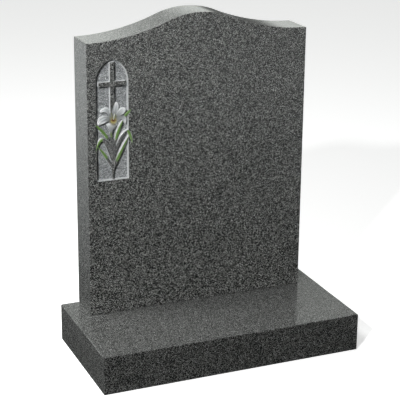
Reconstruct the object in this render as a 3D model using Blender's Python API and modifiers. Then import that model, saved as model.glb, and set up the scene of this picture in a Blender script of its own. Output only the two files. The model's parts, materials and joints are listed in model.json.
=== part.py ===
"""An upright granite headstone: a tablet with an ogee top, set on a rectangular base.

A sunk panel with a pointed arch is carved into the left of the tablet's face. A cross and
a lily with its leaves stand in the panel, all cut from the tablet's own stone.

The origin is the middle of the base's underside. X runs along the face to the right,
Y runs from front to back, and Z is up. All sizes are in metres.
"""

import math
from collections import namedtuple

import bmesh
import bpy
from mathutils import Matrix, Vector

# Base slab
BASE_WIDTH = 0.7112
BASE_DEPTH = 0.3556
BASE_HEIGHT = 0.1016
BASE_ARRIS = 0.0025

# Tablet: its back is flush with the back of the base
STONE_WIDTH = 0.6096
STONE_THICKNESS = 0.1016
SHOULDER_HEIGHT = 0.7274
OGEE_RISE = 0.060
CROWN_RADIUS = 0.225
STONE_ARRIS = 0.002
SETTING_GAP = 0.0003
ARC_STEP = math.radians(3.5)

# Sunk panel, measured from the tablet's left edge and from its foot
PANEL_MARGIN = 0.0236
PANEL_WIDTH = 0.086
PANEL_SILL = 0.3675
PANEL_JAMB = 0.260
PANEL_ARCH_RISE = 0.0575
PANEL_DEPTH = 0.0095

# Cross in the head of the panel, its polished front level with the tablet's face
CROSS_BAR = 0.011
CROSS_SPAN = 0.072
CROSS_TOP_GAP = 0.0085
CROSS_ARM_DROP = 0.050

# Lily: drawn on a grid of hundredths of its own height, which starts at the panel's sill
LILY_HEIGHT = 0.206
THROAT_CENTRE = (2.4, 75.7)
THROAT_RADIUS = 5.4
THROAT_RELIEF = 0.24

# How far carved bodies run on into the stone behind them, and cutters past its face
KEYED_IN = 0.002
CUT_PAST = 0.010

BASE_GREY = (0.115, 0.118, 0.115, 1.0)
STONE_GREY = (0.130, 0.133, 0.130, 1.0)

# A carved blade is a petal, a leaf or a stalk. Its line runs from foot to tip and is pulled
# towards bend. Each of these is (across, up, relief): grid units from the middle of the
# sill, and a share of the panel's depth. Width is in grid units, and fullest is the
# share of the length where it is reached. Hollow is how far the middle sinks below the
# edges, as a share of the relief, or with a minus sign how far it stands above them.
# Foot width is the width it starts with.
Blade = namedtuple("Blade", "name foot bend tip width fullest hollow foot_width")

PETALS = [
    Blade("top_petal",
          (3.4, 78.9, 0.22), (2.8, 92.2, 1.05), (6.8, 99.0, 0.97), 8.2, 0.58, 0.14, 5.0),
    Blade("upper_right_petal",
          (5.4, 78.1, 0.24), (10.6, 88.4, 1.08), (17.9, 89.2, 0.94), 7.8, 0.62, 0.14, 5.0),
    Blade("lower_right_petal",
          (5.8, 76.7, 0.30), (17.6, 84.3, 1.18), (16.6, 70.6, 0.92), 5.2, 0.40, 0.16, 5.0),
    Blade("lower_left_petal",
          (-0.9, 76.3, 0.32), (-12.2, 82.9, 1.18), (-18.4, 72.0, 0.90), 8.8, 0.55, 0.20, 5.0),
    Blade("upper_left_petal",
          (1.1, 78.5, 0.28), (-5.0, 95.7, 1.20), (-14.9, 88.2, 0.95), 5.6, 0.39, 0.18, 5.0),
]
TRUMPET = Blade(
    "trumpet",
    (-0.7, 56.0, 0.42), (-1.6, 65.0, 0.83), (-0.3, 73.0, 0.95), 11.8, 0.82, -0.25, 1.8)
LEAVES = [
    Blade("left_upper_leaf",
          (-2.9, 48.7, 0.37), (-10.6, 63.6, 0.63), (-22.3, 72.8, 0.98), 3.6, 0.50, -0.15, 0.6),
    Blade("tall_leaf",
          (3.7, 47.0, 0.82), (6.7, 62.6, 0.95), (13.6, 75.2, 0.96), 3.8, 0.50, -0.10, 0.6),
    Blade("small_leaf",
          (15.9, 79.6, 0.60), (19.1, 83.0, 1.06), (24.1, 88.5, 0.98), 3.8, 0.50, -0.10, 0.6),
    Blade("right_drooping_leaf",
          (2.2, 22.6, 0.84), (7.3, 57.2, 0.96), (20.9, 62.8, 0.98), 4.8, 0.52, -0.10, 0.6),
    Blade("left_drooping_leaf",
          (0.7, 20.9, 0.84), (-11.1, 73.7, 0.96), (-22.0, 39.3, 0.97), 4.8, 0.35, -0.10, 0.6),
    Blade("left_lower_leaf",
          (-0.1, 13.9, 0.48), (-5.5, 29.4, 0.51), (-18.9, 44.4, 0.96), 3.4, 0.50, -0.15, 0.6),
    Blade("right_lower_leaf",
          (1.2, 12.4, 0.84), (6.3, 29.6, 0.95), (21.4, 54.8, 0.96), 4.2, 0.50, -0.10, 0.6),
    Blade("middle_leaf",
          (0.7, 20.2, 0.86), (0.6, 40.7, 0.96), (-0.9, 55.3, 0.96), 8.4, 0.60, -0.06, 0.6),
]
STALK = Blade(
    "stalk",
    (1.2, 0.3, 0.72), (0.7, 33.0, 0.84), (-1.2, 69.0, 0.40), 3.0, 0.50, -0.30, 0.6)
BLADE_TIP_WIDTH = 0.6

# Grid heights where the cross's upright goes behind the top petal, on its left and right
CROSS_FOOT_LEFT = 85.4
CROSS_FOOT_RIGHT = 98.5

# Places that follow from the sizes above
BASE_TOP = BASE_HEIGHT
STONE_FOOT = BASE_TOP + SETTING_GAP
STONE_BACK = BASE_DEPTH / 2
STONE_FACE = STONE_BACK - STONE_THICKNESS
PANEL_FLOOR = STONE_FACE + PANEL_DEPTH
PANEL_MIDDLE = -STONE_WIDTH / 2 + PANEL_MARGIN + PANEL_WIDTH / 2
SILL_HEIGHT = STONE_FOOT + PANEL_SILL
PANEL_APEX = PANEL_JAMB + PANEL_ARCH_RISE
LILY_GRID = LILY_HEIGHT / 100


def clear_scene():
    for old in list(bpy.data.objects):
        bpy.data.objects.remove(old, do_unlink=True)


def new_collection(name):
    collection = bpy.data.collections.new(name)
    bpy.context.scene.collection.children.link(collection)
    return collection


def granite(name, colour, roughness):
    material = bpy.data.materials.new(name)
    material.use_nodes = True
    shader = material.node_tree.nodes["Principled BSDF"]
    shader.inputs["Base Color"].default_value = colour
    shader.inputs["Roughness"].default_value = roughness
    shader.inputs["Metallic"].default_value = 0.0
    return material


def object_from_bmesh(name, bm, collection):
    bmesh.ops.recalc_face_normals(bm, faces=bm.faces[:])
    mesh = bpy.data.meshes.new(name)
    bm.to_mesh(mesh)
    bm.free()
    solid = bpy.data.objects.new(name, mesh)
    collection.objects.link(solid)
    return solid


def arc(centre, radius, start, end):
    """Points along an arc, ends included, from one angle to the other."""
    steps = max(2, math.ceil(abs(end - start) / ARC_STEP))
    angles = [start + (end - start) * i / steps for i in range(steps + 1)]
    return [(centre[0] + radius * math.cos(a), centre[1] + radius * math.sin(a)) for a in angles]


def mirrored(right_half):
    """A whole outline from its right half, which runs up from the foot to a point on the axis."""
    left_half = [(-x, z) for x, z in reversed(right_half[:-1])]
    return right_half + left_half


def upright_plate(name, outline, front, back, foot, middle, collection):
    """A flat outline stood upright and given a thickness from its front to its back."""
    curve = bpy.data.curves.new(name, "CURVE")
    curve.dimensions = "2D"
    curve.fill_mode = "BOTH"
    curve.extrude = (back - front) / 2
    spline = curve.splines.new("POLY")
    spline.points.add(len(outline) - 1)
    for point, (x, z) in zip(spline.points, outline):
        point.co = (x, z, 0.0, 1.0)
    spline.use_cyclic_u = True
    drawn = bpy.data.objects.new(name + "_outline", curve)
    collection.objects.link(drawn)
    drawn.location = (middle, (front + back) / 2, foot)
    drawn.rotation_euler = (math.pi / 2, 0.0, 0.0)
    bpy.context.view_layer.update()

    depsgraph = bpy.context.evaluated_depsgraph_get()
    mesh = bpy.data.meshes.new_from_object(drawn.evaluated_get(depsgraph))
    welded = bmesh.new()
    welded.from_mesh(mesh)
    bmesh.ops.remove_doubles(welded, verts=welded.verts[:], dist=1e-5)
    bmesh.ops.recalc_face_normals(welded, faces=welded.faces[:])
    welded.to_mesh(mesh)
    welded.free()
    plate = bpy.data.objects.new(name, mesh)
    plate.matrix_world = drawn.matrix_world
    collection.objects.link(plate)
    bpy.data.objects.remove(drawn, do_unlink=True)
    return plate


def add_arris(solid, width):
    """Break the sharp edges with a small flat, as a polisher does."""
    bevel = solid.modifiers.new("arris", "BEVEL")
    bevel.width = width
    bevel.segments = 1
    bevel.limit_method = "ANGLE"
    bevel.angle_limit = math.radians(30)


def ogee_outline():
    """The tablet seen from the front. Its serpentine top is a round crown between two
    hollow tails, each tail level at the shoulder and tangent to the crown."""
    half = STONE_WIDTH / 2
    turn = 2 * math.atan(OGEE_RISE / half)
    tail_radius = half / math.sin(turn) - CROWN_RADIUS
    tail_centre = (half, SHOULDER_HEIGHT + tail_radius)
    crown_centre = (0.0, SHOULDER_HEIGHT + OGEE_RISE - CROWN_RADIUS)
    level = math.radians(90)
    tail = arc(tail_centre, tail_radius, -level, -level - turn)
    crown = arc(crown_centre, CROWN_RADIUS, level - turn, level)
    return mirrored([(half, 0.0)] + tail + crown[1:])


def panel_outline():
    """The sunk panel: two upright jambs under a pointed arch struck from two centres."""
    half = PANEL_WIDTH / 2
    offset = (PANEL_ARCH_RISE ** 2 - half ** 2) / (2 * half)
    radius = half + offset
    haunch = arc((-offset, PANEL_JAMB), radius, 0.0, math.atan2(PANEL_ARCH_RISE, offset))
    return mirrored([(half, 0.0)] + haunch)


def cross_outlines():
    """The upright of the cross, cut off on the slant behind the top petal, and its arms."""
    bar = CROSS_BAR / 2
    span = CROSS_SPAN / 2
    top = PANEL_APEX - CROSS_TOP_GAP
    arm_top = top - CROSS_ARM_DROP
    arm_foot = arm_top - CROSS_BAR
    left_foot = CROSS_FOOT_LEFT * LILY_GRID
    right_foot = CROSS_FOOT_RIGHT * LILY_GRID
    upright = [(-bar, left_foot), (bar, right_foot), (bar, top), (-bar, top)]
    arms = [(-span, arm_foot), (span, arm_foot), (span, arm_top), (-span, arm_top)]
    return {"cross_upright": upright, "cross_arms": arms}


def on_panel(across, up, relief):
    """A point of the lily's grid, at a share of the way out from the floor to the face."""
    return Vector((
        PANEL_MIDDLE + across * LILY_GRID,
        PANEL_FLOOR - relief * PANEL_DEPTH,
        SILL_HEIGHT + up * LILY_GRID,
    ))


def blade_width(blade, t):
    """Half the width at a share of the length: a smooth swell that is widest at fullest."""
    swell = math.sin(math.pi * t ** (math.log(0.5) / math.log(blade.fullest)))
    end = blade.foot_width + (BLADE_TIP_WIDTH - blade.foot_width) * t
    return (end + (blade.width - end) * max(swell, 0.0) ** 0.75) / 2


def blade_section(blade, t, strips):
    """The points across the blade at one place along its line, from its left to its right."""
    foot, bend, tip = (Vector(p) for p in (blade.foot, blade.bend, blade.tip))
    middle = foot * (1 - t) ** 2 + bend * 2 * t * (1 - t) + tip * t ** 2
    along = (bend - foot) * (1 - t) + (tip - bend) * t
    across = Vector((along.y, -along.x, 0.0)).normalized()
    section = []
    for i in range(strips + 1):
        s = 2 * i / strips - 1
        place = middle + across * s * blade_width(blade, t)
        edge_rise = blade.hollow * (s * s - 1) if blade.hollow > 0 else blade.hollow * s * s
        section.append((place.x, place.y, middle.z * (1 + edge_rise)))
    return section


def carve_blade(blade, steps, strips, collection):
    """A petal, leaf or stalk: a loft of its sections, with sides straight down into the stone."""
    bm = bmesh.new()
    keyed = -KEYED_IN / PANEL_DEPTH
    rows = []
    for i in range(steps + 1):
        section = blade_section(blade, i / steps, strips)
        rows.append([bm.verts.new(on_panel(*point)) for point in section])
    for row, above in zip(rows, rows[1:]):
        for i in range(strips):
            bm.faces.new((row[i], row[i + 1], above[i + 1], above[i]))

    rim = rows[0] + [row[-1] for row in rows[1:-1]] + rows[-1][::-1] + [row[0] for row in rows[-2:0:-1]]
    buried_y = on_panel(0.0, 0.0, keyed).y
    buried = [bm.verts.new((v.co.x, buried_y, v.co.z)) for v in rim]
    count = len(rim)
    for i in range(count):
        j = (i + 1) % count
        bm.faces.new((rim[j], rim[i], buried[i], buried[j]))
    bm.faces.new(buried)
    return object_from_bmesh(blade.name, bm, collection)


def carve_throat(collection):
    """The floor of the flower's cup, a low round boss between the feet of the petals."""
    height = THROAT_RELIEF * PANEL_DEPTH + KEYED_IN
    radius = THROAT_RADIUS * LILY_GRID
    bm = bmesh.new()
    bmesh.ops.create_cone(
        bm, cap_ends=True, segments=20, radius1=radius, radius2=radius, depth=height,
        matrix=Matrix.Rotation(math.pi / 2, 4, "X"))
    centre = on_panel(*THROAT_CENTRE, THROAT_RELIEF)
    bmesh.ops.translate(bm, verts=bm.verts[:], vec=centre + Vector((0.0, height / 2, 0.0)))
    return object_from_bmesh("throat", bm, collection)


def carve_relief(collection):
    """Everything that stands up from the floor of the panel."""
    for name, outline in cross_outlines().items():
        upright_plate(
            name, outline, STONE_FACE, PANEL_FLOOR + KEYED_IN,
            SILL_HEIGHT, PANEL_MIDDLE, collection)
    carve_throat(collection)
    for petal in PETALS + [TRUMPET]:
        carve_blade(petal, 12, 6, collection)
    for leaf in LEAVES + [STALK]:
        carve_blade(leaf, 12, 4, collection)


def build_base(parts):
    bm = bmesh.new()
    bmesh.ops.create_cube(bm, size=1.0)
    bmesh.ops.scale(bm, verts=bm.verts[:], vec=(BASE_WIDTH, BASE_DEPTH, BASE_HEIGHT))
    base = object_from_bmesh("base", bm, parts)
    base.location = (0.0, 0.0, BASE_HEIGHT / 2)
    add_arris(base, BASE_ARRIS)
    base.data.materials.append(granite("base_granite", BASE_GREY, 0.35))


def build_headstone(parts, cutters, relief):
    stone = upright_plate(
        "headstone", ogee_outline(), STONE_FACE, STONE_BACK, STONE_FOOT, 0.0, parts)
    add_arris(stone, STONE_ARRIS)
    stone.data.materials.append(granite("headstone_granite", STONE_GREY, 0.18))

    sinking = upright_plate(
        "panel_sinking", panel_outline(), STONE_FACE - CUT_PAST, PANEL_FLOOR,
        SILL_HEIGHT, PANEL_MIDDLE, cutters)
    cut = stone.modifiers.new("panel", "BOOLEAN")
    cut.operation = "DIFFERENCE"
    cut.object = sinking

    carve_relief(relief)
    join = stone.modifiers.new("relief", "BOOLEAN")
    join.operation = "UNION"
    join.operand_type = "COLLECTION"
    join.collection = relief


def main():
    clear_scene()
    parts = new_collection("upright_headstone")
    cutters = new_collection("cutters")
    relief = new_collection("relief")
    build_base(parts)
    build_headstone(parts, cutters, relief)
    for guide in list(cutters.objects) + list(relief.objects):
        guide.hide_render = True
        guide.display_type = "WIRE"


main()
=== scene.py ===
"""The looks of an upright granite headstone: an ogee topped tablet on a rectangular base.

The tablet's face has a sunk panel with a pointed arch, in which a cross and a lily are carved.
Everything is in metres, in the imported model's own frame: X to the viewer's right, Y from the
front to the back, Z up, and the origin in the middle of the base's underside.
"""

import json
import math
from collections import namedtuple

import bmesh
import bpy
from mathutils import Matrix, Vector, noise
from mathutils.geometry import delaunay_2d_cdt

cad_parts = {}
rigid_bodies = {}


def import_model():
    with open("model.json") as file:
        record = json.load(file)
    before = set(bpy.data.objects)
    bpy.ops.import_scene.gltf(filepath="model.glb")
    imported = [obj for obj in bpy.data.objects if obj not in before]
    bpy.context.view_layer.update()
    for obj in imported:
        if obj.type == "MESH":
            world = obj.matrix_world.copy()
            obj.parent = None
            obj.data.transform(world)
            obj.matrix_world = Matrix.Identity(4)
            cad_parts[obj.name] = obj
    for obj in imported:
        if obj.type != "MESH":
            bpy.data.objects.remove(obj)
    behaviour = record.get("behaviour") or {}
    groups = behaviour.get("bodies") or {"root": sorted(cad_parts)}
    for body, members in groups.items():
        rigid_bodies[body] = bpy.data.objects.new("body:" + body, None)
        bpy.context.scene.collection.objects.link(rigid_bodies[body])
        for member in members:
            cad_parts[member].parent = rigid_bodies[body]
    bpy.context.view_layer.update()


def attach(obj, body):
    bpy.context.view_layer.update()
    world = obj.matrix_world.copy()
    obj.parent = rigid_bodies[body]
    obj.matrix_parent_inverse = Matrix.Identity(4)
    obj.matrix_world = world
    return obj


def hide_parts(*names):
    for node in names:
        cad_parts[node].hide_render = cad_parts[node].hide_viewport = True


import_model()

# Base: one slab of speckled grey granite, sawn to size, polished on its front, honed on its
# top and sides, and left as sawn on its back and underside. It lies on the ground by its own
# weight and carries the tablet, whose back is flush with its own.
BASE_WIDTH = 0.7112
BASE_DEPTH = 0.3556
BASE_HEIGHT = 0.1016
BASE_ARRIS = 0.0025
SHARP_EDGE = math.radians(30)
SHADED_SHARP = math.radians(38)

# The base's polished front has darker feldspar than the tablet's face of the same granite: painted
# shade
BASE_MICA = (0.004, 0.005, 0.005, 1.0)
BASE_QUARTZ = (0.040, 0.042, 0.040, 1.0)
BASE_SHADED_FELDSPAR = (0.430, 0.437, 0.420, 1.0)
HONED_MICA = (0.026, 0.027, 0.026, 1.0)
HONED_QUARTZ = (0.112, 0.115, 0.112, 1.0)
HONED_FELDSPAR = (0.420, 0.428, 0.414, 1.0)
SAWN_MICA = (0.085, 0.087, 0.086, 1.0)
SAWN_QUARTZ = (0.190, 0.195, 0.191, 1.0)
SAWN_FELDSPAR = (0.360, 0.365, 0.355, 1.0)
POLISHED_ROUGHNESS = 0.13
HONED_ROUGHNESS = 0.16
SAWN_ROUGHNESS = 0.62
SAW_LINE_SCALE = 45.0
SAW_LINE_DEPTH = 0.0004
PIT_SCALE = 560.0
PIT_DEPTH = 0.0011

# The grain is laid out in units of one crystal. A lath bed is the way that its long crystals
# lie and the share of the stone that they take.
CRYSTAL_SIZE = 0.00135
CRYSTAL_WANDER = 1.2
CLOUD_SCALE = 0.11
CLOUD_SPREAD = 0.20
QUARTZ_SCALE = 1.35
LATH_SHAPE = (0.72, 0.72, 1.6)
LATH_BEDS = (((0.4, 1.2, 0.3), 0.19), ((-0.6, -0.5, 1.9), 0.17))
FLAKE_SCALE = 1.9
FLAKE_SHARE = 0.20
FLAKE_OFFSET = (7.3, 1.9, 4.4)
MIX_SOCKETS = {"FLOAT": (2, 3, 0), "VECTOR": (4, 5, 1), "RGBA": (6, 7, 2)}


def add_node(tree, kind, inputs=None, **settings):
    """A node with its settings made, and each input either set or linked."""
    node = tree.nodes.new(kind)
    for name, value in settings.items():
        setattr(node, name, value)
    for key, value in (inputs or {}).items():
        if isinstance(value, bpy.types.NodeSocket):
            tree.links.new(value, node.inputs[key])
        else:
            node.inputs[key].default_value = value
    return node


def maths(tree, operation, *terms):
    return add_node(tree, "ShaderNodeMath", dict(enumerate(terms)), operation=operation).outputs[0]


def vector_maths(tree, operation, first, second):
    slot = 3 if operation == "SCALE" else 1
    node = add_node(tree, "ShaderNodeVectorMath", {0: first, slot: second}, operation=operation)
    return node.outputs[0]


def mix(tree, kind, share, first, second):
    """A blend of two numbers, vectors or colours."""
    low, high, blend = MIX_SOCKETS[kind]
    node = add_node(tree, "ShaderNodeMix", {0: share, low: first, high: second}, data_type=kind)
    return node.outputs[blend]


def ramp(tree, value, low, high, start=0.0, end=1.0, smooth=False):
    """A value carried from the range low to high over to start to end, and held at both."""
    return add_node(tree, "ShaderNodeMapRange", {
        "Value": value, "From Min": low, "From Max": high, "To Min": start, "To Max": end},
        interpolation_type="SMOOTHSTEP" if smooth else "LINEAR").outputs[0]


def mottle(tree, place, scale, detail, roughness=0.5):
    return add_node(tree, "ShaderNodeTexNoise", {
        "Vector": place, "Scale": scale, "Detail": detail, "Roughness": roughness}).outputs


def stone_place(tree):
    return add_node(tree, "ShaderNodeTexCoord").outputs["Object"]


def build_granite_grain():
    """Interlocked crystals: black mica, grey quartz and pale feldspar, in clouds of each."""
    tree = bpy.data.node_groups.new("granite_grain", "ShaderNodeTree")
    for name, kind in (("Vector", "NodeSocketVector"), ("Crystal Size", "NodeSocketFloat"),
                       ("Mica", "NodeSocketColor"), ("Quartz", "NodeSocketColor"),
                       ("Feldspar", "NodeSocketColor")):
        tree.interface.new_socket(name, in_out="INPUT", socket_type=kind)
    tree.interface.new_socket("Color", in_out="OUTPUT", socket_type="NodeSocketColor")
    given = add_node(tree, "NodeGroupInput").outputs

    per_crystal = maths(tree, "DIVIDE", 1.0, given["Crystal Size"])
    scaled = vector_maths(tree, "SCALE", given["Vector"], per_crystal)
    wander = mottle(tree, scaled, 1.3, 2.0)["Color"]
    centred = vector_maths(tree, "SUBTRACT", wander, (0.5, 0.5, 0.5))
    bent = vector_maths(tree, "ADD", scaled, vector_maths(tree, "SCALE", centred, CRYSTAL_WANDER))
    clouds = mottle(tree, scaled, CLOUD_SCALE, 3.0)[0]
    cloud = maths(tree, "MULTIPLY_ADD", clouds, CLOUD_SPREAD, -CLOUD_SPREAD / 2)

    def crystals(place, scale):
        """Three random numbers for each crystal of one kind."""
        cells = add_node(tree, "ShaderNodeTexVoronoi", {"Vector": place, "Scale": scale})
        return add_node(tree, "ShaderNodeSeparateColor", {0: cells.outputs["Color"]}).outputs

    def laths(turn, share):
        """Long pale crystals that lie one way, each of its own brightness."""
        lying = add_node(tree, "ShaderNodeMapping", {
            "Vector": bent, "Rotation": turn, "Scale": LATH_SHAPE}, vector_type="TEXTURE")
        chance = crystals(lying.outputs[0], 1.0)
        bright = maths(tree, "MULTIPLY_ADD", chance[1], 0.7, 0.3)
        clouded = maths(tree, "ADD", chance[0], cloud)
        return maths(tree, "MULTIPLY", bright,
                     ramp(tree, clouded, 1.0 - share, 1.05 - share, smooth=True))

    dull = ramp(tree, crystals(bent, QUARTZ_SCALE)[0], 0.25, 0.95, smooth=True)
    pale = maths(tree, "MAXIMUM", *[laths(turn, share) for turn, share in LATH_BEDS])
    flakes = crystals(vector_maths(tree, "ADD", bent, FLAKE_OFFSET), FLAKE_SCALE)[0]
    mica = ramp(tree, flakes, 1.0 - FLAKE_SHARE, 1.03 - FLAKE_SHARE, smooth=True)
    body = mix(tree, "RGBA", dull, given["Mica"], given["Quartz"])
    stone = mix(tree, "RGBA", pale, body, given["Feldspar"])
    add_node(tree, "NodeGroupOutput", {"Color": mix(tree, "RGBA", mica, stone, given["Mica"])})
    return tree


granite_grain = build_granite_grain()


def new_material(name, roughness):
    material = bpy.data.materials.new(name)
    material.use_nodes = True
    shader = material.node_tree.nodes["Principled BSDF"]
    shader.inputs["Roughness"].default_value = roughness
    return material, material.node_tree, shader


def add_bump(tree, shader, height, strength, depth):
    bump = add_node(tree, "ShaderNodeBump", {
        "Strength": strength, "Distance": depth, "Height": height})
    tree.links.new(bump.outputs[0], shader.inputs["Normal"])


def granite_finish(name, crystals, roughness, tooling=0.0, pitting=0.0):
    """One finish of the granite: its three crystal colours, gloss, saw lines and pits."""
    material, tree, shader = new_material(name, roughness)
    place = stone_place(tree)
    mica, quartz, feldspar = crystals
    grain = add_node(tree, "ShaderNodeGroup", {
        "Vector": place, "Crystal Size": CRYSTAL_SIZE,
        "Mica": mica, "Quartz": quartz, "Feldspar": feldspar}, node_tree=granite_grain)
    tree.links.new(grain.outputs["Color"], shader.inputs["Base Color"])
    if tooling:
        lines = add_node(tree, "ShaderNodeTexWave", {
            "Vector": place, "Scale": SAW_LINE_SCALE, "Distortion": 1.5, "Detail": 2.0,
            "Detail Scale": 0.6}, bands_direction="DIAGONAL")
        add_bump(tree, shader, lines.outputs["Fac"], tooling, SAW_LINE_DEPTH)
    if pitting:
        add_bump(tree, shader, mottle(tree, place, PIT_SCALE, 4.0, 0.65)[0], pitting, PIT_DEPTH)
    return material


# A darker copy of the tablet's polished finish for the base's front: painted shade
polished_base_shaded = granite_finish(
    "polished_base_shaded", (BASE_MICA, BASE_QUARTZ, BASE_SHADED_FELDSPAR), POLISHED_ROUGHNESS)
honed_granite = granite_finish(
    "honed_granite", (HONED_MICA, HONED_QUARTZ, HONED_FELDSPAR), HONED_ROUGHNESS)
sawn_granite = granite_finish(
    "sawn_granite", (SAWN_MICA, SAWN_QUARTZ, SAWN_FELDSPAR), SAWN_ROUGHNESS, tooling=0.35)


def round_arrises(bm, radius):
    """Rub every sharp edge of a block round."""
    sharp = [e for e in bm.edges if e.calc_face_angle(0.0) > SHARP_EDGE]
    bmesh.ops.bevel(bm, geom=sharp, offset=radius, segments=3, profile=0.5, affect="EDGES")
    bm.normal_update()


def finish_faces(bm):
    """The front is polished, which is material slot 0. The back and the underside keep the
    saw's finish, slot 1, and the top and sides are honed, slot 2."""
    for face in bm.faces:
        if face.normal.y > 0.9 or face.normal.z < -0.9:
            face.material_index = 1
        elif face.normal.y > -0.5:
            face.material_index = 2


def finished_mesh(name, bm, materials):
    mesh = bpy.data.meshes.new(name)
    bm.to_mesh(mesh)
    bm.free()
    for material in materials:
        mesh.materials.append(material)
    return mesh


def smooth_to_flats(mesh):
    """Smooth shading that breaks at real edges and leaves the large flats flat."""
    mesh.shade_smooth()
    mesh.set_sharp_from_angle(angle=SHADED_SHARP)
    stone = bpy.data.objects.new(mesh.name + "_shading", mesh)
    bpy.context.scene.collection.objects.link(stone)
    weighted = stone.modifiers.new("flats", "WEIGHTED_NORMAL")
    weighted.keep_sharp = True
    depsgraph = bpy.context.evaluated_depsgraph_get()
    shaded = bpy.data.meshes.new_from_object(stone.evaluated_get(depsgraph))
    bpy.data.objects.remove(stone, do_unlink=True)
    return shaded


bm = bmesh.new()
bmesh.ops.create_cube(bm, size=1.0)
bmesh.ops.scale(bm, verts=bm.verts[:], vec=(BASE_WIDTH, BASE_DEPTH, BASE_HEIGHT))
bmesh.ops.translate(bm, verts=bm.verts[:], vec=(0.0, 0.0, BASE_HEIGHT / 2))
round_arrises(bm, BASE_ARRIS)
finish_faces(bm)
base_mesh = finished_mesh("base_slab", bm, (polished_base_shaded, sawn_granite, honed_granite))
base_slab = bpy.data.objects.new("base_slab", smooth_to_flats(base_mesh))
bpy.context.scene.collection.objects.link(base_slab)
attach(base_slab, "root")
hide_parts("base")

# Tablet: one slab of the same granite with a serpentine top, its face polished, its top and
# sides honed, its back and foot left as sawn. The panel is sandblasted through a stencil that
# leaves the cross and the lily standing, so both are the tablet's own stone.
STONE_WIDTH = 0.6096
STONE_THICKNESS = 0.1016
STONE_FOOT = BASE_HEIGHT + 0.0003
SHOULDER_HEIGHT = 0.7274
OGEE_RISE = 0.060
CROWN_RADIUS = 0.225
STONE_ARRIS = 0.002
STONE_BACK = BASE_DEPTH / 2
STONE_FACE = STONE_BACK - STONE_THICKNESS

PANEL_MIDDLE = -0.2382
PANEL_WIDTH = 0.086
PANEL_HALF = PANEL_WIDTH / 2
SILL_HEIGHT = STONE_FOOT + 0.3675
PANEL_JAMB = 0.260
PANEL_ARCH_RISE = 0.0575
PANEL_DEPTH = 0.0095
PANEL_FLOOR = STONE_FACE + PANEL_DEPTH
PANEL_APEX = PANEL_JAMB + PANEL_ARCH_RISE
CUT_PAST = 0.010

CROSS_BAR = 0.011
CROSS_SPAN = 0.072
CROSS_TOP_GAP = 0.0085
CROSS_ARM_DROP = 0.050

LILY_GRID = 0.00206
CROSS_FOOT_LEFT = 85.4 * LILY_GRID
CROSS_FOOT_RIGHT = 98.5 * LILY_GRID
KEYED_IN = 0.002

POLISHED_MICA = (0.004, 0.005, 0.005, 1.0)
POLISHED_QUARTZ = (0.040, 0.042, 0.040, 1.0)
POLISHED_FELDSPAR = (0.680, 0.690, 0.662, 1.0)
BRUSHED_MICA = (0.050, 0.051, 0.050, 1.0)
BRUSHED_QUARTZ = (0.140, 0.143, 0.140, 1.0)
BRUSHED_FELDSPAR = (0.560, 0.568, 0.552, 1.0)
BLASTED_MICA = (0.090, 0.096, 0.099, 1.0)
BLASTED_QUARTZ = (0.460, 0.482, 0.490, 1.0)
BLASTED_FELDSPAR = (0.860, 0.895, 0.905, 1.0)
# The panel's jamb and sill are a lighter copy of the blasted floor: painted highlight
PANEL_WALL_HIGHLIGHT_MICA = (0.480, 0.493, 0.500, 1.0)
PANEL_WALL_HIGHLIGHT_QUARTZ = (0.680, 0.697, 0.703, 1.0)
PANEL_WALL_HIGHLIGHT_FELDSPAR = (0.850, 0.866, 0.870, 1.0)
# The walls of the cross and the lily are a whitened copy of the blasted stone: painted highlight
CUT_WALL_HIGHLIGHT_MICA = (0.700, 0.713, 0.718, 1.0)
CUT_WALL_HIGHLIGHT_QUARTZ = (0.840, 0.853, 0.857, 1.0)
CUT_WALL_HIGHLIGHT_FELDSPAR = (0.930, 0.938, 0.938, 1.0)
BRUSHED_ROUGHNESS = 0.22
BLASTED_ROUGHNESS = 0.90
CUT_WALL_ROUGHNESS = 0.85

polished_granite = granite_finish(
    "polished_granite", (POLISHED_MICA, POLISHED_QUARTZ, POLISHED_FELDSPAR), POLISHED_ROUGHNESS)
brushed_granite = granite_finish(
    "brushed_granite", (BRUSHED_MICA, BRUSHED_QUARTZ, BRUSHED_FELDSPAR), BRUSHED_ROUGHNESS)
blasted_granite = granite_finish(
    "blasted_granite", (BLASTED_MICA, BLASTED_QUARTZ, BLASTED_FELDSPAR), BLASTED_ROUGHNESS,
    pitting=1.0)
# A lighter copy of the blasted finish for the panel's jamb and sill: painted highlight
panel_wall = granite_finish(
    "panel_wall", (PANEL_WALL_HIGHLIGHT_MICA, PANEL_WALL_HIGHLIGHT_QUARTZ, PANEL_WALL_HIGHLIGHT_FELDSPAR), BLASTED_ROUGHNESS, pitting=0.6)
# A lighter copy of the blasted finish for the cut walls: painted highlight
cut_wall = granite_finish(
    "cut_wall", (CUT_WALL_HIGHLIGHT_MICA, CUT_WALL_HIGHLIGHT_QUARTZ, CUT_WALL_HIGHLIGHT_FELDSPAR), CUT_WALL_ROUGHNESS, pitting=0.4)


def arc(centre, radius, start, end, step):
    steps = max(2, math.ceil(abs(end - start) / step))
    angles = [start + (end - start) * i / steps for i in range(steps + 1)]
    return [(centre[0] + radius * math.cos(a), centre[1] + radius * math.sin(a)) for a in angles]


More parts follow.
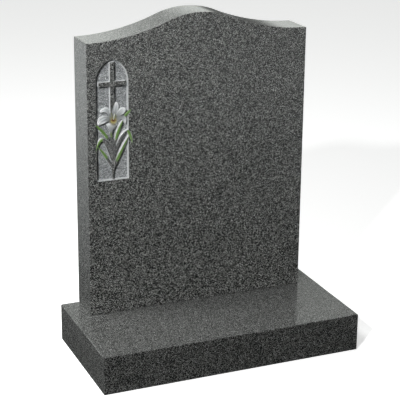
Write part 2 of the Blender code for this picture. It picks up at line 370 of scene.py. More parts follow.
def ogee_outline():
    """The tablet from the front: a round crown between two hollow tails."""
    half = STONE_WIDTH / 2
    turn = 2 * math.atan(OGEE_RISE / half)
    tail_radius = half / math.sin(turn) - CROWN_RADIUS
    level, step = math.radians(90), math.radians(1)
    tail_centre = (half, SHOULDER_HEIGHT + tail_radius)
    crown_centre = (0.0, SHOULDER_HEIGHT + OGEE_RISE - CROWN_RADIUS)
    tail = arc(tail_centre, tail_radius, -level, -level - turn, step)
    crown = arc(crown_centre, CROWN_RADIUS, level - turn, level, step)
    right_half = [(half, 0.0)] + tail + crown[1:]
    return right_half + [(-x, z) for x, z in reversed(right_half[:-1])]


def bridge(bm, near, far, slot=0):
    """A band of faces between two closed rings of points."""
    for i in range(len(near)):
        j = (i + 1) % len(near)
        bm.faces.new((near[j], near[i], far[i], far[j])).material_index = slot


def upright_block(outline, front, back, middle, foot):
    """An outline in X and Z, given a thickness from front to back."""
    bm = bmesh.new()
    near = [bm.verts.new((middle + x, front, foot + z)) for x, z in outline]
    far = [bm.verts.new((v.co.x, back, v.co.z)) for v in near]
    bm.faces.new(near)
    bm.faces.new(far[::-1])
    bridge(bm, near, far)
    bmesh.ops.recalc_face_normals(bm, faces=bm.faces[:])
    bm.normal_update()
    return bm


def blank_tablet():
    bm = upright_block(ogee_outline(), STONE_FACE, STONE_BACK, 0.0, STONE_FOOT)
    round_arrises(bm, STONE_ARRIS)
    finish_faces(bm)
    return finished_mesh("tablet", bm, (polished_granite, sawn_granite, honed_granite))


# The panel's floor is left a little uneven by the blast, which also rounds its inner corner.
# Each haunch of the pointed arch is struck from a centre this far past the panel's middle.
PANEL_LIP = 0.0004
FLOOR_CORNER = 0.0016
FLOOR_STEP = 0.0019
FLOOR_WAVES = ((0.0045, 0.00016), (0.0018, 0.00010))
ARCH_STEPS = 22
ARCH_OFFSET = (PANEL_ARCH_RISE ** 2 - PANEL_HALF ** 2) / (2 * PANEL_HALF)


def arch_ring(inset):
    """The panel's outline drawn in by an inset, with the same number of points each time."""
    radius = PANEL_HALF + ARCH_OFFSET - inset
    end = math.acos(ARCH_OFFSET / radius)
    angles = [end * i / ARCH_STEPS for i in range(ARCH_STEPS + 1)]
    haunch = [(-ARCH_OFFSET + radius * math.cos(a), PANEL_JAMB + radius * math.sin(a)) for a in angles]
    right_half = [(0.0, inset), (PANEL_HALF - inset, inset)] + haunch
    return right_half + [(-x, z) for x, z in reversed(right_half[1:-1])]


def inside_panel(x, z, inset):
    if z < PANEL_JAMB:
        return abs(x) < PANEL_HALF - inset and z > inset
    return math.hypot(abs(x) + ARCH_OFFSET, z - PANEL_JAMB) < PANEL_HALF + ARCH_OFFSET - inset


def blast_depth(x, z):
    """How much deeper than even the floor is at a place on the panel."""
    return sum(height * noise.noise(Vector((x, 0.31, z)) / width) for width, height in FLOOR_WAVES)


def panel_sinking():
    """What the blast takes out of the tablet for the panel."""
    rounding = [(FLOOR_CORNER * (1 - math.cos(a)), PANEL_FLOOR - FLOOR_CORNER * (1 - math.sin(a)))
                for a in (0.0, math.radians(30), math.radians(60), math.radians(90))]
    sections = [(-PANEL_LIP, STONE_FACE - CUT_PAST), (-PANEL_LIP, STONE_FACE - 0.00005),
                (0.0, STONE_FACE + PANEL_LIP)] + rounding
    bm = bmesh.new()
    rings = [[bm.verts.new((PANEL_MIDDLE + x, y, SILL_HEIGHT + z)) for x, z in arch_ring(inset)]
             for inset, y in sections]
    bm.faces.new(rings[0])
    for near, far in zip(rings, rings[1:]):
        bridge(bm, near, far, slot=1)

    corner = arch_ring(FLOOR_CORNER)
    points = [Vector(p) for p in corner]
    for row in range(int(PANEL_APEX / FLOOR_STEP) + 1):
        for column in range(int(PANEL_WIDTH / FLOOR_STEP) + 2):
            shift = 0.5 * (row % 2)
            x = -PANEL_HALF + (column - shift) * FLOOR_STEP
            z = row * FLOOR_STEP
            if inside_panel(x, z, FLOOR_CORNER + 0.6 * FLOOR_STEP):
                points.append(Vector((x, z)))
    flat = delaunay_2d_cdt(points, [], [list(range(len(corner)))], 1, 1e-7)
    floor = []
    for point, sources in zip(flat[0], flat[3]):
        edge = [i for i in sources if i < len(corner)]
        if edge:
            floor.append(rings[-1][edge[0]])
        else:
            y = PANEL_FLOOR + blast_depth(point.x, point.y)
            floor.append(bm.verts.new((PANEL_MIDDLE + point.x, y, SILL_HEIGHT + point.y)))
    for triangle in flat[2]:
        bm.faces.new([floor[i] for i in triangle])
    bmesh.ops.recalc_face_normals(bm, faces=bm.faces[:])
    return finished_mesh("panel_sinking", bm, (blasted_granite, panel_wall))


def cross_plates():
    """The upright of the cross, cut off on the slant behind the top petal, and its arms."""
    bar, span = CROSS_BAR / 2, CROSS_SPAN / 2
    top = PANEL_APEX - CROSS_TOP_GAP
    arm_top = top - CROSS_ARM_DROP
    arm_foot = arm_top - CROSS_BAR
    upright = [(-bar, CROSS_FOOT_LEFT), (bar, CROSS_FOOT_RIGHT), (bar, top), (-bar, top)]
    arms = [(-span, arm_foot), (span, arm_foot), (span, arm_top), (-span, arm_top)]
    front, back = STONE_FACE - 2 * CUT_PAST, PANEL_FLOOR + KEYED_IN
    return [finished_mesh(name, upright_block(outline, front, back, PANEL_MIDDLE, SILL_HEIGHT),
                          (cut_wall,))
            for name, outline in (("cross_upright", upright), ("cross_arms", arms))]


# Lily: a flower, its trumpet, a stalk and long leaves, each one carved blade and touched in by
# hand. Its places are (across, up, relief), on a grid of hundredths of its height that starts
# in the middle of the sill, with the relief as a share of the panel's depth.
# The near white on each petal's rim and tip is a painted highlight
PETAL_RIM_HIGHLIGHT = (0.95, 0.97, 0.975, 1.0)
PETAL_WHITE = (0.66, 0.695, 0.705, 1.0)
# The grey on the petals towards the throat is painted shade, where the petals shade each other
PETAL_SHADE_GREY = (0.28, 0.295, 0.295, 1.0)
# The grey ring round the throat is painted shade between the petals' feet
THROAT_SHADE_GREY = (0.27, 0.265, 0.205, 1.0)
THROAT_YELLOW = (0.48, 0.42, 0.15, 1.0)
THROAT_BROWN = (0.24, 0.125, 0.055, 1.0)
STEM_GREEN = (0.20, 0.27, 0.12, 1.0)
# The white down a leaf's lit upper left edge is a painted highlight
EDGE_HIGHLIGHT_WHITE = (0.80, 0.82, 0.81, 1.0)
LEAF_GREEN = (0.125, 0.265, 0.045, 1.0)
LEAF_LIGHT = (0.31, 0.47, 0.165, 1.0)
PISTIL_WHITE = (0.78, 0.82, 0.70, 1.0)
STAMEN_OLIVE = (0.50, 0.52, 0.30, 1.0)
ANTHER_BROWN = (0.34, 0.15, 0.06, 1.0)

THROAT = (2.4, 75.7)
THROAT_RADIUS = 5.4
THROAT_RIM = 0.30
THROAT_FLOOR = 0.10
CALYX = (-0.9, 57.0)
# Spots of colour on the flower: the middle, the radius that is full, the radius where it ends
FLOWER_SPOTS = (
    (CALYX, 0.004, 0.013, STEM_GREEN),
    # a ring of painted shade round the throat, between the petals' feet
    (THROAT, 0.009, 0.0155, THROAT_SHADE_GREY),
    (THROAT, 0.0055, 0.0100, THROAT_YELLOW),
    (THROAT, 0.0016, 0.0052, THROAT_BROWN),
)


def on_panel(across, up, relief):
    return Vector((PANEL_MIDDLE + across * LILY_GRID, PANEL_FLOOR - relief * PANEL_DEPTH,
                   SILL_HEIGHT + up * LILY_GRID))


def length_of(tree, vector):
    return add_node(tree, "ShaderNodeVectorMath", {0: vector}, operation="LENGTH").outputs["Value"]


def stray(tree, speckle, reach):
    """A noise set about zero, so that the edge it is added to wanders to both sides."""
    return maths(tree, "MULTIPLY", maths(tree, "SUBTRACT", speckle, 0.5), reach)


def near_place(tree, centre, inner, outer):
    """A mask that is 1 within the inner radius of a place on the panel and 0 past the outer."""
    place = stone_place(tree)
    spot = on_panel(*centre, 0.5)
    away = vector_maths(tree, "SUBTRACT", place, (spot.x, spot.y, spot.z))
    across = vector_maths(tree, "MULTIPLY", away, (1.0, 0.0, 1.0))
    rough_edge = stray(tree, mottle(tree, place, 420.0, 2.0)[0], 0.004)
    reach = maths(tree, "ADD", length_of(tree, across), rough_edge)
    return ramp(tree, reach, outer, inner, smooth=True)


def split_paint(tree):
    """The paint attribute: its cover, the share along the blade, the share across, its alpha."""
    # The alpha is the strength of a leaf's painted highlight; on a petal the cover marks where its
    # painted shade ends
    paint = add_node(tree, "ShaderNodeAttribute", attribute_name="paint").outputs
    parts = add_node(tree, "ShaderNodeSeparateColor", {0: paint["Color"]}).outputs
    return parts[0], parts[1], parts[2], paint["Alpha"]


def petal_paint():
    """White paint, with a painted shade of grey towards the throat and a painted highlight on
    the rim of each petal, a ring of painted shade round the throat, the throat in yellow and
    brown and the foot of the trumpet in green."""
    material, tree, shader = new_material("petal_paint", 0.55)
    cover, along, across, _ = split_paint(tree)
    brush = mottle(tree, stone_place(tree), 700.0, 3.0)[0]
    strokes = stray(tree, brush, 0.25)
    # How far a place is past the painted shade of grey at a petal's foot
    past_painted_shade = ramp(tree, maths(tree, "ADD", cover, strokes), 0.0, 1.0, smooth=True)
    to_edge = maths(tree, "ABSOLUTE", maths(tree, "MULTIPLY_ADD", across, 2.0, -1.0))
    # The rim mask is a painted highlight on each petal's rim and tip, over the white paint
    toward_rim_highlight = maths(tree, "ADD", maths(tree, "MAXIMUM", to_edge, along), strokes)
    rim = ramp(tree, toward_rim_highlight, 0.60, 0.96, smooth=True)
    colour = mix(tree, "RGBA", past_painted_shade, PETAL_SHADE_GREY, PETAL_WHITE)
    colour = mix(tree, "RGBA", maths(tree, "MULTIPLY", rim, past_painted_shade), colour, PETAL_RIM_HIGHLIGHT)
    for centre, inner, outer, tint in FLOWER_SPOTS:
        colour = mix(tree, "RGBA", near_place(tree, centre, inner, outer), colour, tint)
    tree.links.new(colour, shader.inputs["Base Color"])
    add_bump(tree, shader, brush, 0.25, 0.0003)
    return material


def leaf_paint(name, stone):
    """Thin green paint over a finish of the stone, which is left bare towards the leaf's foot,
    and a painted highlight in white down the lit upper left side of the leaves that have one."""
    material = stone.copy()
    material.name = name
    tree = material.node_tree
    shader = tree.nodes["Principled BSDF"]
    bare = shader.inputs["Base Color"].links[0].from_socket
    painted, along, across, pale_edge = split_paint(tree)
    brush = mottle(tree, stone_place(tree), 450.0, 3.0)[0]
    strokes = stray(tree, brush, 0.5)
    off_middle = maths(tree, "ABSOLUTE", maths(tree, "SUBTRACT", across, 0.42))
    mottled = maths(tree, "ADD", off_middle, maths(tree, "MULTIPLY", brush, 0.3))
    green = mix(tree, "RGBA", ramp(tree, mottled, 0.25, 0.7), LEAF_GREEN, LEAF_LIGHT)
    cover = ramp(tree, maths(tree, "ADD", painted, strokes), 0.25, 0.75, smooth=True)
    colour = mix(tree, "RGBA", maths(tree, "MULTIPLY", cover, 0.93), bare, green)
    # The white edge mixed in below is a painted highlight down the lit upper left side of the leaf
    brushed_across = maths(tree, "ADD", across, maths(tree, "MULTIPLY", strokes, 0.2))
    bevel = maths(tree, "MULTIPLY", ramp(tree, brushed_across, 0.22, 0.13),
                  ramp(tree, along, 0.35, 0.62, end=pale_edge))
    tree.links.new(mix(tree, "RGBA", bevel, colour, EDGE_HIGHLIGHT_WHITE), shader.inputs["Base Color"])
    tree.links.new(ramp(tree, cover, 0.0, 1.0, POLISHED_ROUGHNESS, 0.42), shader.inputs["Roughness"])
    return material


def plain_paint(name, colour):
    """One colour of paint, brushed unevenly."""
    material, tree, shader = new_material(name, 0.5)
    brush = mottle(tree, stone_place(tree), 900.0, 2.0)[0]
    darker = tuple(0.55 * c for c in colour[:3]) + (1.0,)
    tree.links.new(mix(tree, "RGBA", brush, darker, colour), shader.inputs["Base Color"])
    return material


petal_white = petal_paint()
leaf_green = leaf_paint("leaf_green", brushed_granite)
stalk_green = leaf_paint("stalk_green", polished_granite)
pistil_white = plain_paint("pistil_white", PISTIL_WHITE)
stamen_olive = plain_paint("stamen_olive", STAMEN_OLIVE)
anther_brown = plain_paint("anther_brown", ANTHER_BROWN)

BLADE_INPUTS = (
    ("Foot", "NodeSocketVector"), ("Bend", "NodeSocketVector"), ("Tip", "NodeSocketVector"),
    ("Half Width", "NodeSocketFloat"), ("Foot Width", "NodeSocketFloat"),
    ("Tip Width", "NodeSocketFloat"), ("Fullest", "NodeSocketFloat"),
    ("Hollow", "NodeSocketFloat"), ("Rib", "NodeSocketFloat"), ("Shoulder", "NodeSocketFloat"),
    ("Buried Depth", "NodeSocketFloat"),
    ("Paint Starts", "NodeSocketFloat"), ("Paint Full", "NodeSocketFloat"),
    ("Pale Edge", "NodeSocketFloat"),
    ("Steps Along", "NodeSocketInt"), ("Steps Across", "NodeSocketInt"),
    ("Top Material", "NodeSocketMaterial"), ("Side Material", "NodeSocketMaterial"),
)


def split(tree, vector):
    return add_node(tree, "ShaderNodeSeparateXYZ", {0: vector}).outputs


def build_carved_blade():
    """A petal or a leaf: a block whose length follows a bent line and whose front swells,
    hollows and ribs about it, with sides straight down into the stone behind."""
    tree = bpy.data.node_groups.new("carved_blade", "GeometryNodeTree")
    for name, kind in BLADE_INPUTS:
        tree.interface.new_socket(name, in_out="INPUT", socket_type=kind)
    tree.interface.new_socket("Geometry", in_out="OUTPUT", socket_type="NodeSocketGeometry")
    given = add_node(tree, "NodeGroupInput").outputs

    block = add_node(tree, "GeometryNodeMeshCube", {
        "Size": (1.0, 1.0, 1.0), "Vertices X": given["Steps Across"], "Vertices Y": 2,
        "Vertices Z": given["Steps Along"]}).outputs["Mesh"]
    position = add_node(tree, "GeometryNodeInputPosition").outputs[0]
    raw_across, raw_depth, raw_along = split(tree, position)
    across = maths(tree, "SINE", maths(tree, "MULTIPLY", raw_across, math.pi))
    along = maths(tree, "ADD", raw_along, 0.5)
    buried = maths(tree, "ADD", raw_depth, 0.5)

    paint = add_node(tree, "FunctionNodeCombineColor", {
        0: ramp(tree, along, given["Paint Starts"], given["Paint Full"]), 1: along,
        2: maths(tree, "MULTIPLY_ADD", across, 0.5, 0.5), 3: given["Pale Edge"]}).outputs[0]
    marked = add_node(tree, "GeometryNodeStoreNamedAttribute", {"Geometry": block, "Name": "paint"},
                      data_type="FLOAT_COLOR", domain="CORNER")
    tree.links.new(paint, marked.inputs["Value"])

    early = mix(tree, "VECTOR", along, given["Foot"], given["Bend"])
    late = mix(tree, "VECTOR", along, given["Bend"], given["Tip"])
    line = mix(tree, "VECTOR", along, early, late)
    heading = split(tree, vector_maths(tree, "SUBTRACT", late, early))
    sideways = add_node(tree, "ShaderNodeCombineXYZ", {
        0: heading[2], 1: 0.0, 2: maths(tree, "MULTIPLY", heading[0], -1.0)}).outputs[0]
    sideways = add_node(tree, "ShaderNodeVectorMath", {0: sideways}, operation="NORMALIZE").outputs[0]

    bias = maths(tree, "LOGARITHM", 0.5, given["Fullest"])
    turn = maths(tree, "MULTIPLY", maths(tree, "POWER", along, bias), math.pi)
    swell = maths(tree, "POWER", maths(tree, "MAXIMUM", maths(tree, "SINE", turn), 0.0), 0.75)
    ends = mix(tree, "FLOAT", along, given["Foot Width"], given["Tip Width"])
    fuller = maths(tree, "SUBTRACT", given["Half Width"], ends)
    reach = maths(tree, "MULTIPLY", across, maths(tree, "MULTIPLY_ADD", fuller, swell, ends))
    place = vector_maths(tree, "ADD", line, vector_maths(tree, "SCALE", sideways, reach))

    squared = maths(tree, "MULTIPLY", across, across)
    channel = maths(tree, "MULTIPLY", maths(tree, "MAXIMUM", given["Hollow"], 0.0),
                    maths(tree, "SUBTRACT", squared, 1.0))
    crown = maths(tree, "MULTIPLY", maths(tree, "MINIMUM", given["Hollow"], 0.0), squared)
    narrow = maths(tree, "MAXIMUM", maths(tree, "MULTIPLY_ADD", squared, -9.0, 1.0), 0.0)
    rib = maths(tree, "MULTIPLY", given["Rib"], maths(tree, "MULTIPLY", narrow, narrow))
    section = maths(tree, "ADD", maths(tree, "ADD", channel, crown), rib)
    edge = maths(tree, "MAXIMUM", maths(tree, "ABSOLUTE", across),
                 maths(tree, "MULTIPLY_ADD", along, 4.0, -3.0))
    rolled = ramp(tree, edge, 0.66, 1.0, end=given["Shoulder"], smooth=True)
    rise = maths(tree, "SUBTRACT", maths(tree, "MULTIPLY", swell, section), rolled)

    spot = split(tree, place)
    front = maths(tree, "SUBTRACT", spot[1], rise)
    depth = mix(tree, "FLOAT", buried, front, given["Buried Depth"])
    carved = add_node(tree, "ShaderNodeCombineXYZ", {0: spot[0], 1: depth, 2: spot[2]}).outputs[0]
    shape = add_node(tree, "GeometryNodeSetPosition", {
        "Geometry": marked.outputs[0], "Position": carved}).outputs[0]

    normal = add_node(tree, "GeometryNodeInputNormal").outputs[0]
    faces_viewer = maths(tree, "LESS_THAN", split(tree, normal)[1], -0.4)
    smooth = add_node(tree, "GeometryNodeSetShadeSmooth", {"Geometry": shape}).outputs[0]
    solid = add_node(tree, "GeometryNodeRealizeInstances", {"Geometry": smooth}).outputs[0]
    sides = add_node(tree, "GeometryNodeSetMaterial", {
        "Geometry": solid, "Material": given["Side Material"]}).outputs[0]
    tops = add_node(tree, "GeometryNodeSetMaterial", {
        "Geometry": sides, "Selection": faces_viewer, "Material": given["Top Material"]}).outputs[0]
    add_node(tree, "NodeGroupOutput", {"Geometry": tops})
    return tree


carved_blade = build_carved_blade()
BLADE_TIP_WIDTH = 0.3


def carve_blade(name, collection, foot, bend, tip, half_width, fullest, hollow=0.0, rib=0.0,
                shoulder=0.0005, foot_width=0.3, paint=(0.0, 0.0), pale_edge=0.0, steps=(36, 16),
                top=leaf_green, side=cut_wall, buried=PANEL_FLOOR + KEYED_IN):
    """One blade as a plain mesh, with its half widths on the lily's grid."""
    blank = bpy.data.objects.new(name, bpy.data.meshes.new(name))
    collection.objects.link(blank)
    modifier = blank.modifiers.new("carving", "NODES")
    modifier.node_group = carved_blade
    values = {
        "Foot": on_panel(*foot), "Bend": on_panel(*bend), "Tip": on_panel(*tip),
        "Half Width": half_width * LILY_GRID, "Foot Width": foot_width * LILY_GRID,
        "Tip Width": BLADE_TIP_WIDTH * LILY_GRID, "Fullest": fullest, "Hollow": hollow, "Rib": rib,
        "Shoulder": shoulder, "Buried Depth": buried,
        "Paint Starts": paint[0], "Paint Full": paint[1] + 1e-4, "Pale Edge": pale_edge,
        "Steps Along": steps[0] + 1, "Steps Across": steps[1] + 1,
        "Top Material": top, "Side Material": side,
    }
    for item in carved_blade.interface.items_tree:
        if item.in_out == "INPUT":
            modifier[item.identifier] = values[item.name]
    depsgraph = bpy.context.evaluated_depsgraph_get()
    mesh = bpy.data.meshes.new_from_object(blank.evaluated_get(depsgraph))
    bpy.data.objects.remove(blank, do_unlink=True)
    blade = bpy.data.objects.new(name, mesh)
    collection.objects.link(blade)
    return blade


def carve_throat(collection):
    """The flower's cup: a dished round boss that the petals rise from."""
    rings, around = 8, 40
    radius = THROAT_RADIUS * LILY_GRID
    rim, floor = THROAT_RIM * PANEL_DEPTH, THROAT_FLOOR * PANEL_DEPTH
    centre = on_panel(*THROAT, 0.0)
    turns = [2 * math.pi * i / around for i in range(around)]
    bm = bmesh.new()

    def ring(reach, height):
        return [bm.verts.new((centre.x + reach * math.cos(turn), centre.y - height,
                              centre.z + reach * math.sin(turn))) for turn in turns]

    loops = [ring(radius * k / rings, floor + (rim - floor) * (k / rings) ** 2)
             for k in range(1, rings + 1)]
    loops.append(ring(radius, -KEYED_IN))
    for near, far in zip(loops, loops[1:]):
        bridge(bm, far, near)
    bm.faces.new(loops[-1])
    middle = bm.verts.new((centre.x, centre.y - floor, centre.z))
    for i in range(around):
        bm.faces.new((loops[0][i], loops[0][(i + 1) % around], middle))
    bmesh.ops.recalc_face_normals(bm, faces=bm.faces[:])
    cup = bpy.data.objects.new("throat", finished_mesh("throat", bm, (petal_white,)))
    collection.objects.link(cup)


PETAL_SHOULDER = 0.0014
PETAL_FOOT_WIDTH = 2.5
PETAL_STEPS = (44, 24)
Petal = namedtuple("Petal", "name foot bend tip half_width fullest hollow rib paint")
# A petal's paint pair is where its painted shade of grey gives way to white
PETALS = (
    Petal("top_petal", (3.4, 78.9, 0.22), (2.8, 92.2, 1.05), (6.8, 99.0, 0.97),
          4.1, 0.58, 0.0018, 0.0013, (0.05, 0.70)),
    Petal("upper_right_petal", (5.4, 78.1, 0.24), (10.6, 88.4, 1.08), (17.9, 89.2, 0.94),
          3.9, 0.62, 0.0020, 0.0012, (0.05, 0.70)),
    Petal("lower_right_petal", (5.8, 76.7, 0.30), (17.6, 84.3, 1.18), (16.6, 70.6, 0.92),
          2.6, 0.40, 0.0028, 0.0012, (0.30, 1.10)),
    Petal("lower_left_petal", (-0.9, 76.3, 0.32), (-12.2, 82.9, 1.18), (-18.4, 72.0, 0.90),
          4.4, 0.55, 0.0032, 0.0022, (0.05, 0.60)),
    Petal("upper_left_petal", (1.1, 78.5, 0.28), (-5.0, 95.7, 1.20), (-14.9, 88.2, 0.95),
          2.8, 0.39, 0.0028, 0.0016, (0.05, 0.60)),
)
TRUMPET_SHOULDER = 0.0012
TRUMPET_FOOT_WIDTH = 0.9
TRUMPET_STEPS = (30, 20)
# The trumpet's paint pair keeps a painted shade of grey over most of its length
TRUMPET = Petal("trumpet", (-0.7, 56.0, 0.64), (-1.6, 65.0, 1.00), (-0.3, 73.0, 0.97),
                5.9, 0.82, -0.0014, 0.0, (0.10, 1.60))

# Leaves whose tip runs out over the polished face have a groove blasted round that tip
LEAF_RIB = -0.0003
LEAF_SHOULDER = 0.0008
GROOVE_DEPTH = 0.0011
GROOVE_MARGIN = 0.28
GROOVE_HEIGHT = 1.2
BARE = (2.0, 3.0)
Leaf = namedtuple(
    "Leaf", "name foot bend tip half_width fullest crown paint over_face pale_edge top side",
    defaults=(False, 0.0, leaf_green, cut_wall))
# A leaf's pale edge value is the strength of a painted highlight down its lit upper left edge
LEAVES = (
    Leaf("left_upper_leaf", (-2.9, 48.7, 0.37), (-10.6, 63.6, 0.63), (-22.3, 72.8, 0.98),
         1.8, 0.50, 0.0007, (0.05, 0.30), over_face=True),
    Leaf("tall_leaf", (3.7, 47.0, 0.82), (6.7, 62.6, 0.95), (13.6, 75.2, 0.96),
         1.9, 0.50, 0.0006, (0.04, 0.30), pale_edge=0.3),
    Leaf("small_leaf", (15.9, 79.6, 0.60), (19.1, 83.0, 1.06), (24.1, 88.5, 0.98),
         1.9, 0.50, 0.0006, (0.0, 0.05), over_face=True, side=polished_granite),
    Leaf("left_lower_leaf", (-0.1, 13.9, 0.48), (-5.5, 29.4, 0.51), (-18.9, 44.4, 0.96),
         1.7, 0.50, 0.0007, (0.36, 0.58)),
    Leaf("right_lower_leaf", (1.2, 12.4, 0.84), (6.3, 29.6, 0.95), (21.4, 54.8, 0.96),
         2.1, 0.50, 0.0006, (0.20, 0.46), pale_edge=0.9),
    Leaf("right_drooping_leaf", (2.2, 22.6, 0.84), (7.3, 57.2, 0.96), (20.9, 62.8, 0.98),
         2.4, 0.52, 0.0006, BARE, pale_edge=0.8),
    Leaf("right_droop", (19.4, 62.6, 0.98), (23.2, 58.5, 0.98), (25.8, 45.6, 0.98),
         1.9, 0.38, 0.0008, (0.0, 0.05), over_face=True),
    Leaf("left_drooping_leaf", (0.7, 20.9, 0.84), (-11.1, 73.7, 0.96), (-22.0, 39.3, 0.97),
         2.4, 0.35, 0.0006, (0.56, 0.62), over_face=True),
    Leaf("middle_leaf", (0.7, 20.2, 0.86), (0.6, 40.7, 0.96), (-0.9, 55.3, 0.96),
         4.2, 0.60, 0.0004, BARE, side=polished_granite),
    Leaf("stalk", (1.2, 0.3, 0.72), (0.7, 33.0, 0.84), (-1.2, 69.0, 0.46),
         1.5, 0.50, 0.0018, (0.66, 0.82), top=stalk_green, side=polished_granite),
)

STAMEN_CROWN = -0.0004
STAMEN_STEPS = (12, 6)
STAMENS = (
    ("pistil", (2.3, 76.7, 0.32), (2.8, 80.1, 0.68), (3.6, 84.8, 0.88), 0.75, pistil_white),
    ("stamen_left", (1.6, 77.2, 0.32), (0.3, 82.0, 0.63), (-0.4, 86.1, 0.79), 0.40, stamen_olive),
    ("stamen_right", (3.0, 76.7, 0.32), (5.0, 80.0, 0.58), (6.0, 82.6, 0.68), 0.40, stamen_olive),
    ("stamen_far_left", (1.1, 76.3, 0.32), (-1.2, 78.5, 0.53), (-2.5, 80.9, 0.63), 0.40,
     stamen_olive),
)
ANTHER_CROWN = -0.0005
ANTHER_STEPS = (8, 6)
ANTHERS = (
    ("anther_left", (-0.5, 76.2, 0.42), (0.3, 77.4, 0.46), (1.4, 77.6, 0.42), 0.55),
    ("anther_middle", (1.3, 74.6, 0.42), (2.4, 75.4, 0.46), (3.5, 74.8, 0.42), 0.60),
    ("anther_right", (3.4, 76.0, 0.42), (4.3, 76.9, 0.46), (4.9, 75.7, 0.42), 0.55),
    ("anther_top", (1.3, 78.8, 0.42), (2.2, 79.3, 0.46), (3.0, 78.4, 0.42), 0.50),
)


def new_collection(name):
    collection = bpy.data.collections.new(name)
    bpy.context.scene.collection.children.link(collection)
    return collection


def carve_petal(petal, shoulder, foot_width, steps):
    carve_blade(petal.name, relief, petal.foot, petal.bend, petal.tip, petal.half_width,
                petal.fullest, petal.hollow, petal.rib, shoulder=shoulder, foot_width=foot_width,
                paint=petal.paint, steps=steps, top=petal_white, side=petal_white)


relief = new_collection("relief")
sinkings = new_collection("sinkings")
for petal in PETALS:
    carve_petal(petal, PETAL_SHOULDER, PETAL_FOOT_WIDTH, PETAL_STEPS)
carve_petal(TRUMPET, TRUMPET_SHOULDER, TRUMPET_FOOT_WIDTH, TRUMPET_STEPS)
carve_throat(relief)
for leaf in LEAVES:
    carve_blade(leaf.name, relief, leaf.foot, leaf.bend, leaf.tip, leaf.half_width, leaf.fullest,
                -leaf.crown, LEAF_RIB, shoulder=LEAF_SHOULDER, paint=leaf.paint,
                pale_edge=leaf.pale_edge, top=leaf.top, side=leaf.side)
    if leaf.over_face:
        above = [(across, up, GROOVE_HEIGHT) for across, up, _ in (leaf.foot, leaf.bend, leaf.tip)]
        carve_blade("groove_" + leaf.name, sinkings, *above, leaf.half_width + GROOVE_MARGIN,
                    leaf.fullest, shoulder=0.0, foot_width=GROOVE_MARGIN, top=cut_wall,
                    side=blasted_granite, buried=STONE_FACE + GROOVE_DEPTH)
for name, foot, bend, tip, half_width, paint in STAMENS:
    carve_blade(name, relief, foot, bend, tip, half_width, 0.6, STAMEN_CROWN, steps=STAMEN_STEPS,
                top=paint, side=paint)
for name, foot, bend, tip, half_width in ANTHERS:
    carve_blade(name, relief, foot, bend, tip, half_width, 0.5, ANTHER_CROWN, steps=ANTHER_STEPS,
                top=anther_brown, side=anther_brown)


def join_stone():
    """Cut the panel around the cross, then join the lily to the stone it is carved from."""
    stone = bpy.data.objects.new("tablet_block", blank_tablet())
    bpy.context.scene.collection.objects.link(stone)
    sinking = bpy.data.objects.new("panel_sinking", panel_sinking())
    sinkings.objects.link(sinking)
    standing = []
    for plate in cross_plates():
        kept = bpy.data.objects.new(plate.name, plate)
        bpy.context.scene.collection.objects.link(kept)
        keep = sinking.modifiers.new(plate.name, "BOOLEAN")
        keep.operation = "DIFFERENCE"
        keep.object = kept
        keep.material_mode = "TRANSFER"
        standing.append(kept)
    for name, operation, collection in (("panel", "DIFFERENCE", sinkings), ("lily", "UNION", relief)):
        carving = stone.modifiers.new(name, "BOOLEAN")
        carving.operation = operation
        carving.operand_type = "COLLECTION"
        carving.collection = collection
        carving.material_mode = "TRANSFER"
    depsgraph = bpy.context.evaluated_depsgraph_get()
    mesh = bpy.data.meshes.new_from_object(stone.evaluated_get(depsgraph))
    for used in [stone] + standing + list(relief.objects) + list(sinkings.objects):
        bpy.data.objects.remove(used, do_unlink=True)
    bpy.data.collections.remove(relief)
    bpy.data.collections.remove(sinkings)
    return mesh


tablet_mesh = join_stone()
tablet_mesh.name = "tablet"
tablet = bpy.data.objects.new("tablet", smooth_to_flats(tablet_mesh))
bpy.context.scene.collection.objects.link(tablet)
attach(tablet, "root")
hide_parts("headstone")

# Studio: a pale floor that runs out of sight, a soft key light high on the left, a weaker one
# almost overhead, and a bright sweep behind, which the honed top and side pick up. A light is
# its name, its direction from the panel, and its distance, power and size.
FLOOR_WHITE = (0.85, 0.85, 0.85, 1.0)
FLOOR_TINT = (0.955, 1.0, 0.99, 1.0)
BACKDROP_TINT = (0.955, 1.0, 0.95, 1.0)
WHITE = (1.0, 1.0, 1.0, 1.0)
FLOOR_GLOW = 0.6
FLOOR_HALF = 20.0
LIGHTS = (
    ("key", (-0.82, -1.0, 0.75), 4.0, 150.0, 0.20),
    ("overhead", (-0.55, 0.10, 1.1), 2.5, 52.0, 0.8),
)
# Each ramp is where it starts and ends, and its strength at the start and at the end
FLOOR_NEAR = (0.4, 2.9, 0.02, 0.90)
FLOOR_FAR = (5.0, 9.0, 1.0, 0.04)
SWEEP_BEHIND = (0.0, 0.8, 0.02, 1.25)
SWEEP_FOOT = (0.055, 0.085, 0.03, 1.0)
SWEEP_TOP = (0.28, 0.42, 1.0, 0.35)
CAMERA_LENS = 117.8158
CAMERA_SHIFT = -0.08
CAMERA_PLACE = (-1.2818055, -2.9479096, 1.5152637)
CAMERA_TURN = (72.4152, -0.5108, -22.864)


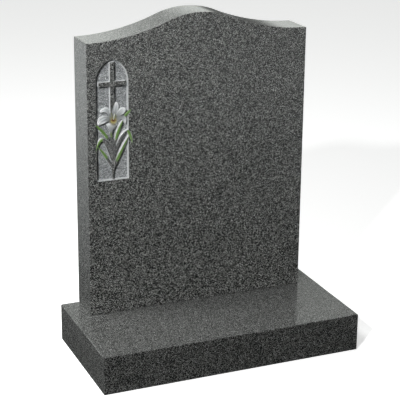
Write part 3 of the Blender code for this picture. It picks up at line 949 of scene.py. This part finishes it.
def studio_floor():
    """A floor that glows evenly, and that the polished stone sees dim near the base, bright
    on the sweep and dark at the horizon."""
    bm = bmesh.new()
    bmesh.ops.create_grid(bm, x_segments=1, y_segments=1, size=FLOOR_HALF)
    material, tree, shader = new_material("studio_floor", 0.9)
    shader.inputs["Base Color"].default_value = FLOOR_WHITE
    shader.inputs["Emission Color"].default_value = WHITE
    shader.inputs["Emission Strength"].default_value = FLOOR_GLOW
    away = length_of(tree, stone_place(tree))
    lit = maths(tree, "MULTIPLY", ramp(tree, away, *FLOOR_NEAR), ramp(tree, away, *FLOOR_FAR))
    mirrored = add_node(tree, "ShaderNodeEmission", {"Color": FLOOR_TINT, "Strength": lit}).outputs[0]
    glossy = add_node(tree, "ShaderNodeLightPath").outputs["Is Glossy Ray"]
    seen = add_node(tree, "ShaderNodeMixShader", {0: glossy, 1: shader.outputs[0], 2: mirrored})
    tree.links.new(seen.outputs[0], tree.nodes["Material Output"].inputs["Surface"])
    floor = bpy.data.objects.new("studio_floor", finished_mesh("studio_floor", bm, (material,)))
    bpy.context.scene.collection.objects.link(floor)
    floor.visible_diffuse = False


def studio_world():
    """White to the camera, and to the stone a sweep that is bright behind and above it."""
    world = bpy.data.worlds.new("studio")
    bpy.context.scene.world = world
    world.use_nodes = True
    tree = world.node_tree
    background = tree.nodes["Background"]
    _, back, up = split(tree, add_node(tree, "ShaderNodeTexCoord").outputs["Generated"])
    height = maths(tree, "MULTIPLY", ramp(tree, up, *SWEEP_FOOT), ramp(tree, up, *SWEEP_TOP))
    lit = maths(tree, "MULTIPLY", ramp(tree, back, *SWEEP_BEHIND), height)
    camera_ray = add_node(tree, "ShaderNodeLightPath").outputs["Is Camera Ray"]
    tree.links.new(mix(tree, "FLOAT", camera_ray, lit, 1.0), background.inputs["Strength"])
    tree.links.new(mix(tree, "RGBA", camera_ray, BACKDROP_TINT, WHITE), background.inputs["Color"])


def studio_light(name, direction, distance, power, size):
    light = bpy.data.lights.new(name, "AREA")
    light.energy = power
    light.shape = "DISK"
    light.size = size
    lamp = bpy.data.objects.new(name, light)
    bpy.context.scene.collection.objects.link(lamp)
    aim = Vector((PANEL_MIDDLE, STONE_FACE, SILL_HEIGHT + PANEL_APEX / 2))
    direction = Vector(direction).normalized()
    lamp.location = aim + direction * distance
    lamp.rotation_euler = direction.to_track_quat("Z", "Y").to_euler()


def studio_camera():
    lens = bpy.data.cameras.new("camera")
    lens.lens = CAMERA_LENS
    lens.shift_y = CAMERA_SHIFT
    camera = bpy.data.objects.new("camera", lens)
    bpy.context.scene.collection.objects.link(camera)
    camera.location = CAMERA_PLACE
    camera.rotation_euler = [math.radians(a) for a in CAMERA_TURN]
    bpy.context.scene.camera = camera


studio_floor()
studio_world()
for light in LIGHTS:
    studio_light(*light)
studio_camera()
bpy.context.scene.view_settings.view_transform = "Standard"
